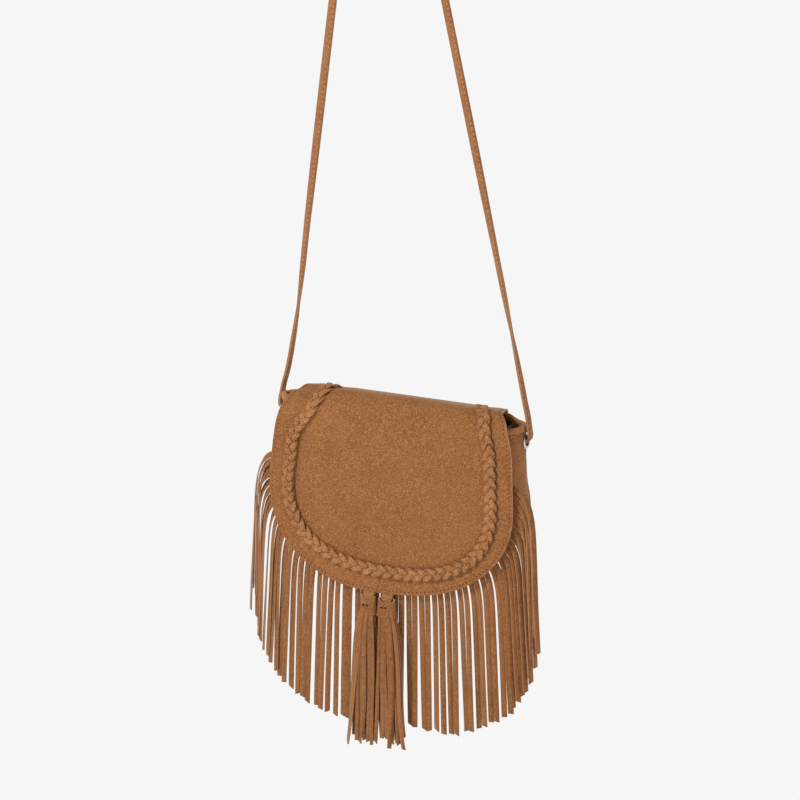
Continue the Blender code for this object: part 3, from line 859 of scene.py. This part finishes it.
flapTop = [
    (0.0750, fold["tabLength"]),
    (0.0765, 0.0100),
    (0.0780, 0.0),
    (0.0870, -fold["riseLength"]),
    (0.0908, -fold["riseLength"] - 0.5 * fold["arcLength"]),
    (0.0968, patternOf(-0.0240)),
    (0.1004, patternOf(-0.0500)),
]
flapHalfRun = halfU(flapTop, fold["half"], patternOf(fold["wide"]), patternOf(fold["bottom"]))
flapRun = wholeU(flapHalfRun)


def flapLift(across, along, gap):
    # The flap's soft relief over its plain bent pattern.
    middle = ease((gap - 0.024) / 0.045) * ease(-along / 0.05)
    wave = 0.0009 * noise.noise(Vector((across * 17, along * 17, 5.3))) * ease(gap / 0.02)
    wave += 0.00025 * noise.noise(Vector((across * 70, along * 70, 1.7)))
    groove = 0.0003 * math.exp(-(((gap - fold["stitchIn"]) / 0.0007) ** 2))
    valley = 0.0005 * math.exp(-(((gap - plait["inset"]) / 0.0065) ** 2))
    curl = fold["curl"] * (1 - ease(gap / 0.008)) * ease(-along / 0.03)
    return fold["swell"] * middle + wave * ease(-along / 0.02) - groove - valley - curl


def flapPlace(across, along, gap, offset=0.0):
    # The hem is cut a little fuller on the left than on the right.
    spot = foldPlace(across, along, flapLift(across, along, gap) + offset)
    fuller = min(1, max(-0.8, (0.030 - spot.x) / 0.070)) * ease((-0.070 - spot.z) / 0.050)
    spot.z -= fold["hemLow"] * fuller * (1 - ease((gap - 0.003) / 0.012))
    return spot


def overHinge(obj):
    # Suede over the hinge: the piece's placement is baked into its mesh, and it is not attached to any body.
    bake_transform(obj)


def makeFlap():
    bm = bmesh.new()
    uSheet(bm, flapHalfRun, 64, flapPlace)
    faceAway(bm, pouchCentre)
    obj = makePiece("flapSuede", bm, [bodySuede, edgeSuede])
    thicken(obj, bag["wall"])
    overHinge(obj)
    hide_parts("flap")

    bm = bmesh.new()
    short = fold["facingShort"]
    innerTop = [(x - short, y) for x, y in flapTop if y <= 0]
    low = patternOf(fold["bottom"] + short)
    half = halfU(innerTop, fold["half"] - short, patternOf(fold["wide"]), low, 24)
    uSheet(bm, half, 36, lambda across, along, gap: foldPlace(across, along, -0.0020))
    faceAway(bm, pouchCentre)
    facing = makePiece("flapFacing", bm, [fringeSuede])
    thicken(facing, 0.0008, 0, 0.0002)
    overHinge(facing)
    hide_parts("flap_lining")

    def onFlap(across, along, out):
        return flapPlace(across, along, fold["stitchIn"], out + 0.0001)

    hemRun = inset(flapRun, fold["stitchIn"])
    frames = framesAlong(hemRun, stitch["pitch"], onFlap, lambda spot: spot.y > -0.004)
    for row in fold["tabRows"]:
        line = [Vector((x, row)) for x in np.linspace(0.0715, -0.0715, 60)]
        frames += framesAlong(line, stitch["pitch"], lambda across, along, out: foldPlace(across, along, out))
    bm = bmesh.new()
    stitchRow(bm, frames, stitch)
    sewn = makePiece("flapStitches", bm, [tanThread, holeShade])
    overHinge(sewn)
    return obj, facing, sewn


plait = {
    "inset": 0.01725,  # the flap's edge to the plait's middle
    "sway": 0.0031,
    "lift": 0.0012,
    "period": 0.0255,  # each strand comes back to the same side
    "width": 0.0043,
    "thick": 0.0014,
    "gap": 0.0001,
    "turnIn": 0.0115,  # how far its left end leans in at the fold
}


def makePlait():
    # Three suede laces plaited flat and couched down on the flap, their ends drawn through behind the fold.
    ridge = -fold["riseLength"] - 0.5 * fold["arcLength"]
    run = [p for p in inset(flapRun, plait["inset"]) if p.y < -fold["riseLength"] + 0.020]
    for spot in run:
        if spot.x < 0:
            spot.x += plait["turnIn"] * ease((spot.y - patternOf(-0.040)) / (ridge - patternOf(-0.040)) * 0.9)
    at, length = runner(run)
    bm = bmesh.new()
    bm.verts.layers.float.new("toneAndShade")
    section = []
    for i in range(10):
        turn = math.tau * i / 10
        a = math.copysign(abs(math.cos(turn)) ** 0.55, math.cos(turn)) * plait["width"] / 2
        b = math.copysign(abs(math.sin(turn)) ** 0.7, math.sin(turn)) * plait["thick"] / 2
        section.append((a, b))
    steps = int(length / 0.0011)
    for strand in range(3):
        spots, outs = [], []
        for k in range(steps + 1):
            s = length * k / steps
            here = at(s)
            way = (at(min(length, s + 0.003)) - at(max(0, s - 0.003))).normalized()
            turn = math.tau * (s / plait["period"] + strand / 3)
            aside = plait["sway"] * math.sin(turn) * (1 + 0.08 * noise.noise(Vector((s * 60, strand, 0))))
            spot = here + Vector((way.y, -way.x)) * aside
            sink = 0.0036 * ease((spot.y + fold["riseLength"] + 0.001) / 0.013)
            high = plait["gap"] + plait["lift"] * (1 + math.sin(2 * turn)) + plait["thick"] / 2 - sink
            gap = plait["inset"] + aside
            spots.append(flapPlace(spot.x, spot.y, gap, high))
            outs.append((flapPlace(spot.x, spot.y, gap, high + 0.001) - spots[-1]).normalized())
        stations = []
        for k, spot in enumerate(spots):
            way = (spots[min(k + 1, steps)] - spots[max(k - 1, 0)]).normalized()
            wide = outs[k].cross(way).normalized()
            stations.append((spot, wide, way.cross(wide)))
        part = bmesh.new()
        toneAndShade = part.verts.layers.float.new("toneAndShade")
        for (k, j), vert in sweep(part, stations, section).items():
            # Painted shade and light: each strand is darker where it dives under the others and lighter where
            # it rides on top. Its cut sides are a little paler, as cut suede is.
            turn = math.tau * (length * k / steps / plait["period"] + strand / 3)
            rim = abs(section[j][0]) > 0.9 * plait["width"] / 2
            vert[toneAndShade] = 0.17 * math.sin(2 * turn) - 0.02 + (0.10 if rim else 0)
        gather(bm, part)
    bmesh.ops.recalc_face_normals(bm, faces=bm.faces)
    obj = makePiece("flapPlait", bm, [plaitSuede])
    overHinge(obj)
    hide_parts("flap_braid")
    return obj


flapSuede, flapFacing, flapStitches = makeFlap()
flapPlait = makePlait()
for before, after in zip(flapHalfRun, flapHalfRun[1:]):
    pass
print("flap done")


# The fringe: a band caught in the front seam, cut into strips that hang.
fringe = {
    "pitch": 0.0052,
    "width": 0.0045,
    "thick": 0.0011,
    "length": 0.1200,
    "sideLonger": 0.0090,
    "from": -0.0525,  # height on the seam where it starts
    "depth": -0.0208,
    "droop": 0.0113,  # how soon a strip turns down to hang
    "lean": 3.2,  # degrees that strips near the sides still splay at their tips
    "twist": 54,
    "seed": 11,
}


def makeFringe():
    dice = random.Random(fringe["seed"])
    seam = [p for p in inset(panelRun, 0.0012) if p.y < fringe["from"]]
    at, length = runner(seam)
    count = round(length / fringe["pitch"])
    bm = bmesh.new()
    bm.verts.layers.float.new("toneAndShade")
    skip = False
    for k in range(count):
        if skip:
            skip = False
            continue
        double = 8 < k < count - 9 and dice.random() < 0.05
        skip = double
        s = length * (k + (1.0 if double else 0.5)) / count
        here = at(s)
        way = (at(min(length, s + 0.004)) - at(max(0, s - 0.004))).normalized()
        out = Vector((-way.y, way.x))
        start = math.atan2(out.x, -out.y)
        side = here.x / bag["panelHalf"]
        high = ease((here.y + 0.105) / 0.055)  # 1 for the strips at the sides' tops
        lean = math.radians(fringe["lean"] * side * (1 - 0.5 * high) + 0.5 * abs(side) + dice.gauss(0, 0.25))
        droop = fringe["droop"] * (1 + 0.22 * high + dice.uniform(-0.14, 0.14))
        slack = abs(math.sin(start)) ** 4
        twist = math.copysign(math.radians(fringe["twist"]) * slack, side) * dice.uniform(0.75, 1.25)
        twist += math.radians(dice.gauss(0, 6))
        late = dice.uniform(-0.5, 0.5)
        depth = fringe["depth"] + (0.0004 if k % 2 else -0.0004) + dice.uniform(-0.0003, 0.0003)
        swing = dice.gauss(0, 0.0011) - 0.0010
        bow = dice.gauss(0, 0.0006)
        wide = fringe["width"] * (2.05 if double else dice.uniform(0.96, 1.04))
        longer = fringe["sideLonger"] * ease(abs(side) / 0.55) * (1 - 0.35 * high)
        total = fringe["length"] + longer + dice.uniform(-0.0016, 0.0016)
        steps = 26
        spot = Vector((here.x, depth, here.y))
        stations = []
        gone = 0.0
        for i in range(steps + 1):
            want = total * (i / steps) ** 1.25
            inner = max(1, round((want - gone) / 0.001))
            for _ in range(inner):
                part = (want - gone) / inner if want > gone else 0
                angle = lean + (start - lean) * math.exp(-((gone / droop) ** 1.15))
                spot = spot + Vector((math.sin(angle), 0, -math.cos(angle))) * part
                gone += part
            share = gone / total
            angle = lean + (start - lean) * math.exp(-((gone / droop) ** 1.15))
            turn = twist * ease(gone / 0.020) * (1 + 0.35 * late * math.sin(5 * share))
            flat = Vector((math.cos(angle), 0, math.sin(angle)))
            drift = Vector((bow * share * share, swing * ease(share), 0))
            across = flat * math.cos(turn) + Vector((0, 1, 0)) * math.sin(turn)
            down = Vector((math.sin(angle), 0, -math.cos(angle)))
            stations.append((spot + drift, across * wide / 2, down.cross(across) * fringe["thick"] / 2))
        strip(bm, stations, dice.uniform(-0.16, 0.16), dice.uniform(-0.0011, 0.0013))

    # The uncut band above the slits, most of it inside the seam.
    band = []
    for k in range(121):
        here = at(length * k / 120)
        way = (at(min(length, length * k / 120 + 0.003)) - at(max(0, length * k / 120 - 0.003))).normalized()
        centre = Vector((here.x, fringe["depth"], here.y))
        band.append((centre, Vector((-way.y, 0, way.x)), Vector((0, 1, 0))))
    part = bmesh.new()
    sweep(part, band, [(-0.003, -0.0005), (0.0035, -0.0005), (0.0035, 0.0005), (-0.003, 0.0005)])
    gather(bm, part)
    obj = makePiece("cutFringe", bm, [fringeSuede, edgeDark])
    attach(obj, "bag")
    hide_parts("fringe")
    print("fringe strips", count)


makeFringe()
print("fringe done")


# The tassels: a wrapped head on a flat tab from behind the hem, and loose strips.
tassel = {
    "left": {"x": -0.0170, "head": (-0.0062, 0.0060), "foot": (-0.0144, 0.0066), "seed": 5},
    "right": {"x": -0.0010, "head": (-0.0078, 0.0070), "foot": (-0.0074, 0.0138), "seed": 9},
    "y": -0.0284,
    "headTop": -0.1590,
    "headBottom": -0.1720,
    "headDepth": 0.0028,
    "tip": -0.2800,
    "stripWidth": 0.0037,
    "thick": 0.0012,
    "slits": -0.1660,  # height of the two slits in the head
    "tabWidth": 0.0092,
    "tabY": -0.0262,  # behind the hem
    "tabTop": -0.1490,
    "tabBottom": -0.1640,
}


def makeTassel(side):
    own = tassel[side]
    body = "tassel_" + side
    dice = random.Random(own["seed"])
    bm = bmesh.new()
    bm.verts.layers.float.new("toneAndShade")
    low, high = own["head"]
    middle, half = own["x"] + (low + high) / 2, (high - low) / 2
    made = bmesh.ops.create_grid(bm, x_segments=28, y_segments=8, size=0.5)["verts"]
    for vert in made:
        turn = math.tau * (vert.co.x + 0.5)
        down = 0.5 - vert.co.y
        front = max(0, -math.sin(turn))
        top = tassel["headTop"] - 0.0030 * front * (1 - abs(math.cos(turn)) ** 2)
        z = top + (tassel["headBottom"] - 0.0015 - top) * down
        spread = 1 + 0.14 * down - 0.04 * math.sin(math.pi * down)
        pleat = 0.00035 * math.sin(9 * turn + 1.3) * ease(down * 1.5)
        deep = tassel["headDepth"] * (0.85 + 0.35 * down)
        vert.co = Vector((
            middle + (half * spread + pleat) * math.copysign(abs(math.cos(turn)) ** 0.8, math.cos(turn)),
            tassel["y"] + (deep + pleat) * math.copysign(abs(math.sin(turn)) ** 0.8, math.sin(turn)),
            z,
        ))
    bmesh.ops.remove_doubles(bm, verts=made, dist=1e-6)
    faceAway(bm, Vector((middle, tassel["y"], -0.164)))
    bmesh.ops.solidify(bm, geom=bm.faces[:], thickness=0.0011)
    bmesh.ops.recalc_face_normals(bm, faces=bm.faces)
    for face in bm.faces:
        if face.normal.z > 0.6:
            face.material_index = 3

    # Loose strips in three layers, gathered at the head and splayed a little at the foot.
    footLow, footHigh = own["foot"]
    for layer, count in ((-1, 6), (0, 5), (1, 6)):
        for k in range(count):
            share = (k + 0.5 + dice.uniform(-0.22, 0.22)) / count
            top = own["x"] + low + 0.0012 + (high - low - 0.0024) * share
            foot = own["x"] + footLow + (footHigh - footLow) * share + dice.gauss(0, 0.0008)
            depth = tassel["y"] + layer * 0.0021 + dice.uniform(-0.0005, 0.0005)
            wide = tassel["stripWidth"] * dice.choice([0.8, 0.95, 1.0, 1.2, 1.9])
            twist = math.radians(dice.gauss(0, 24) + 16 * (share - 0.5))
            tip = tassel["tip"] + dice.uniform(-0.0015, 0.0095)
            flick = dice.gauss(0, 0.0016) + (share - 0.5) * 0.002
            stations = []
            steps = 22
            for i in range(steps + 1):
                t = i / steps
                z = tassel["headBottom"] + 0.004 + (tip - tassel["headBottom"] - 0.004) * t
                out = 0.76 * (1 - math.exp(-5.5 * t)) + 0.24 * t**2
                x = top + (foot - top) * out + flick * t**4 + 0.0005 * math.sin(7 * t + k)
                y = depth + 0.0010 * layer * ease(t * 3) - 0.0006
                turn = twist * ease(t * 1.6) + math.radians(9) * math.sin(5 * t + k + layer)
                across = Vector((math.cos(turn), math.sin(turn), 0))
                grow = 0.55 + 0.45 * ease(t * 6)
                through = Vector((-across.y, across.x, 0)) * tassel["thick"] / 2
                stations.append((Vector((x, y, z)), across * wide / 2 * grow, through))
            strip(bm, stations, dice.uniform(-0.16, 0.14), dice.uniform(-0.0016, 0.0016))

    # Two slits in the head, where the lace that closes it goes in: flat dark patches of painted shade, not
    # cut openings.
    for shift in (-0.0021, 0.0012):
        ball = bmesh.ops.create_uvsphere(bm, u_segments=10, v_segments=6, radius=1)["verts"]
        for vert in ball:
            x, y, z = vert.co
            vert.co = Vector((
                middle - 0.0012 + shift + x * (0.0013 if shift < 0 else 0.0011),
                tassel["y"] - tassel["headDepth"] + 0.0001 + y * 0.0003,
                tassel["slits"] + z * 0.0008,
            ))
        for face in facesOf(ball):
            face.material_index = 2
    bmesh.ops.recalc_face_normals(bm, faces=bm.faces)
    obj = makePiece("tasselStrips_" + side, bm, [fringeSuede, edgeDark, holeShade, edgeSuede])
    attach(obj, body)
    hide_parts(body)

    # The flat tab, sewn up behind the hem.
    bm = bmesh.new()
    bm.verts.layers.float.new("toneAndShade")
    stations = []
    for i in range(17):
        t = i / 16
        z = tassel["tabTop"] + (tassel["tabBottom"] - tassel["tabTop"]) * t
        y = tassel["tabY"] + (tassel["y"] - tassel["tabY"]) * ease((t - 0.35) / 0.5)
        wide = tassel["tabWidth"] / 2 * (1 - 0.32 * ease((t - 0.55) / 0.4))
        stations.append((Vector((middle, y, z)), Vector((wide, 0, 0)), Vector((0, 0.0007, 0))))
    section = [(-1, -1.4), (-0.8, -1.5), (-0.62, -0.8), (0.62, -0.8), (0.8, -1.5), (1, -1.4)]
    section += [(1, 0.8), (0.7, 1), (-0.7, 1), (-1, 0.8)]
    sweep(bm, stations, section)
    bmesh.ops.recalc_face_normals(bm, faces=bm.faces)
    tab = makePiece("tasselTab_" + side, bm, [tabSuede])
    x = bagPlace.x + middle
    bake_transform(tab)
    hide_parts("tassel_thong_" + side)


makeTassel("left")
makeTassel("right")
print("tassels done")


# The strap: folded suede, sewn along one edge, knotted inside both eyelets.
strap = {
    "route": [
        (-0.0992, -0.0250), (-0.1038, -0.0250), (-0.1064, -0.0215), (-0.1062, -0.0120), (-0.1020, 0.0040),
        (-0.0954, 0.0382), (-0.0820, 0.1394), (-0.0687, 0.2398), (-0.0552, 0.3417), (-0.0408, 0.4504),
        (-0.0345, 0.4631), (-0.0190, 0.4695), (-0.0034, 0.4631), (0.0025, 0.4524), (0.0257, 0.3500),
        (0.0483, 0.2500), (0.0709, 0.1500), (0.0912, 0.0600), (0.1025, 0.0080), (0.1063, -0.0110),
        (0.1064, -0.0215), (0.1038, -0.0250), (0.0992, -0.0250),
    ],
    "width": 0.0070,
    "thick": 0.0026,
    "stitchIn": 0.0014,  # the sewn edge to the stitches
    "stitch": {"pitch": 0.0046, "length": 0.0027, "width": 0.0008, "height": 0.00035, "hole": 0.00042},
    # Share of the length, and degrees the sewn edge is turned from the inside.
    "turns": [
        (0.0, 90), (0.05, 86), (0.13, 40), (0.24, 14), (0.43, 16), (0.5, 90), (0.57, 164), (0.76, 166),
        (0.87, 140), (0.95, 94), (1.0, 90),
    ],
    "leftBear": 0.0048,  # where the legs bear on the mouth's roll, behind or before their eyelets
    "rightBear": -0.0026,
    "knotX": 0.0952,
}


def strapStations():
    run = smoothThrough(strap["route"], 0.004)
    at, length = runner(run)
    count = 260
    stations = []
    for k in range(count + 1):
        s = length * k / count
        here = at(s)
        way = (at(min(length, s + 0.002)) - at(max(0, s - 0.002))).normalized()
        share = s / length
        for (a, low), (b, high) in zip(strap["turns"], strap["turns"][1:]):
            if a <= share <= b:
                turn = math.radians(low + (high - low) * ease((share - a) / (b - a)))
        turn += 0.05 * noise.noise(Vector((share * 9, 0, 0)))
        inside = Vector((way.y, 0, -way.x))
        wide = inside * math.cos(turn) + Vector((0, -1, 0)) * math.sin(turn)
        along = Vector((way.x, 0, way.y))
        bear = ease((here.y + 0.025) / 0.012) * max(0, 1 - max(0, here.y) / 0.45)
        back = (strap["leftBear"] if here.x < 0 else strap["rightBear"]) * bear
        stations.append((Vector((here.x, back, here.y)), wide, wide.cross(along), along))
    return stations, length


def makeStrap():
    stations, length = strapStations()
    half, thin = strap["width"] / 2, strap["thick"] / 2
    # The fold is round on one side, and the sewn side shows two layers with a crease between them.
    profile = [(-1, 0), (-0.95, 0.62), (-0.78, 0.98), (0, 1), (0.45, 0.86), (0.6, 0.78), (0.75, 0.86)]
    profile += [(0.95, 0.8), (1, 0.4), (0.9, 0)]
    section = [(half * a, thin * b) for a, b in profile]
    section += [(a, -b) for a, b in reversed(section[1:9])]
    bm = bmesh.new()
    spots = sweep(bm, [s[:3] for s in stations], section)
    number = {vert: j for (i, j), vert in spots.items()}
    for face in bm.faces:
        if len(face.verts) == 4 and all(number[vert] in (8, 9, 10) for vert in face.verts):
            face.material_index = 1
    bmesh.ops.recalc_face_normals(bm, faces=bm.faces)
    obj = makePiece("strapSuede", bm, [strapSuede, edgeDark])
    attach(obj, "bag")
    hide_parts("strap")

    marks = strap["stitch"]
    frames = []
    step = length / (len(stations) - 1)
    for k in range(int((length - 0.024) / marks["pitch"])):
        i = min(len(stations) - 1, round((0.012 + k * marks["pitch"]) / step))
        centre, wide, high, along = stations[i]
        for face in (1, -1):
            spot = centre + wide * (half - strap["stitchIn"]) + high * face * thin * 0.8
            frames.append((spot, along, high * face))
    bm = bmesh.new()
    stitchRow(bm, frames, marks)
    sewn = makePiece("strapStitches", bm, [paleThread, holeShade])
    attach(sewn, "bag")

    for side, name in ((-1, "left"), (1, "right")):
        bm = bmesh.new()
        points = []
        for i in range(48):
            t = math.tau * i / 48
            # A trefoil, which is an overhand knot with its ends joined.
            points.append(Vector((
                side * strap["knotX"] + 0.0013 * -math.sin(3 * t),
                0.00115 * (math.sin(t) + 2 * math.sin(2 * t)),
                bag["eyelet"] + 0.00115 * (math.cos(t) - 2 * math.cos(2 * t)),
            )))
        rings = []
        for i, spot in enumerate(points):
            way = (points[(i + 1) % 48] - points[i - 1]).normalized()
            wide = way.cross(Vector((1, 0, 0))).normalized()
            rings.append((spot, wide, wide.cross(way)))
        circle = [(0.0015 * math.cos(a), 0.0012 * math.sin(a)) for a in [math.tau * i / 8 for i in range(8)]]
        sweep(bm, rings, circle, loop=True)
        bmesh.ops.recalc_face_normals(bm, faces=bm.faces)
        knot = makePiece("strapKnot_" + name, bm, [strapSuede])
        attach(knot, "bag")
        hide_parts("strap_knot_" + name)

    centres = [s[0] + bagPlace for s in stations]
    print("strap length", round(length, 3))


makeStrap()
print("strap done")


# The metal parts keep their shapes.
for name in ("eyelet_left", "eyelet_right", "eyelet_washer_left", "eyelet_washer_right",
             "snap_socket", "snap_socket_washer", "snap_post"):
    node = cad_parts[name]
    node.data.materials.clear()
    node.data.materials.append(brightNickel)
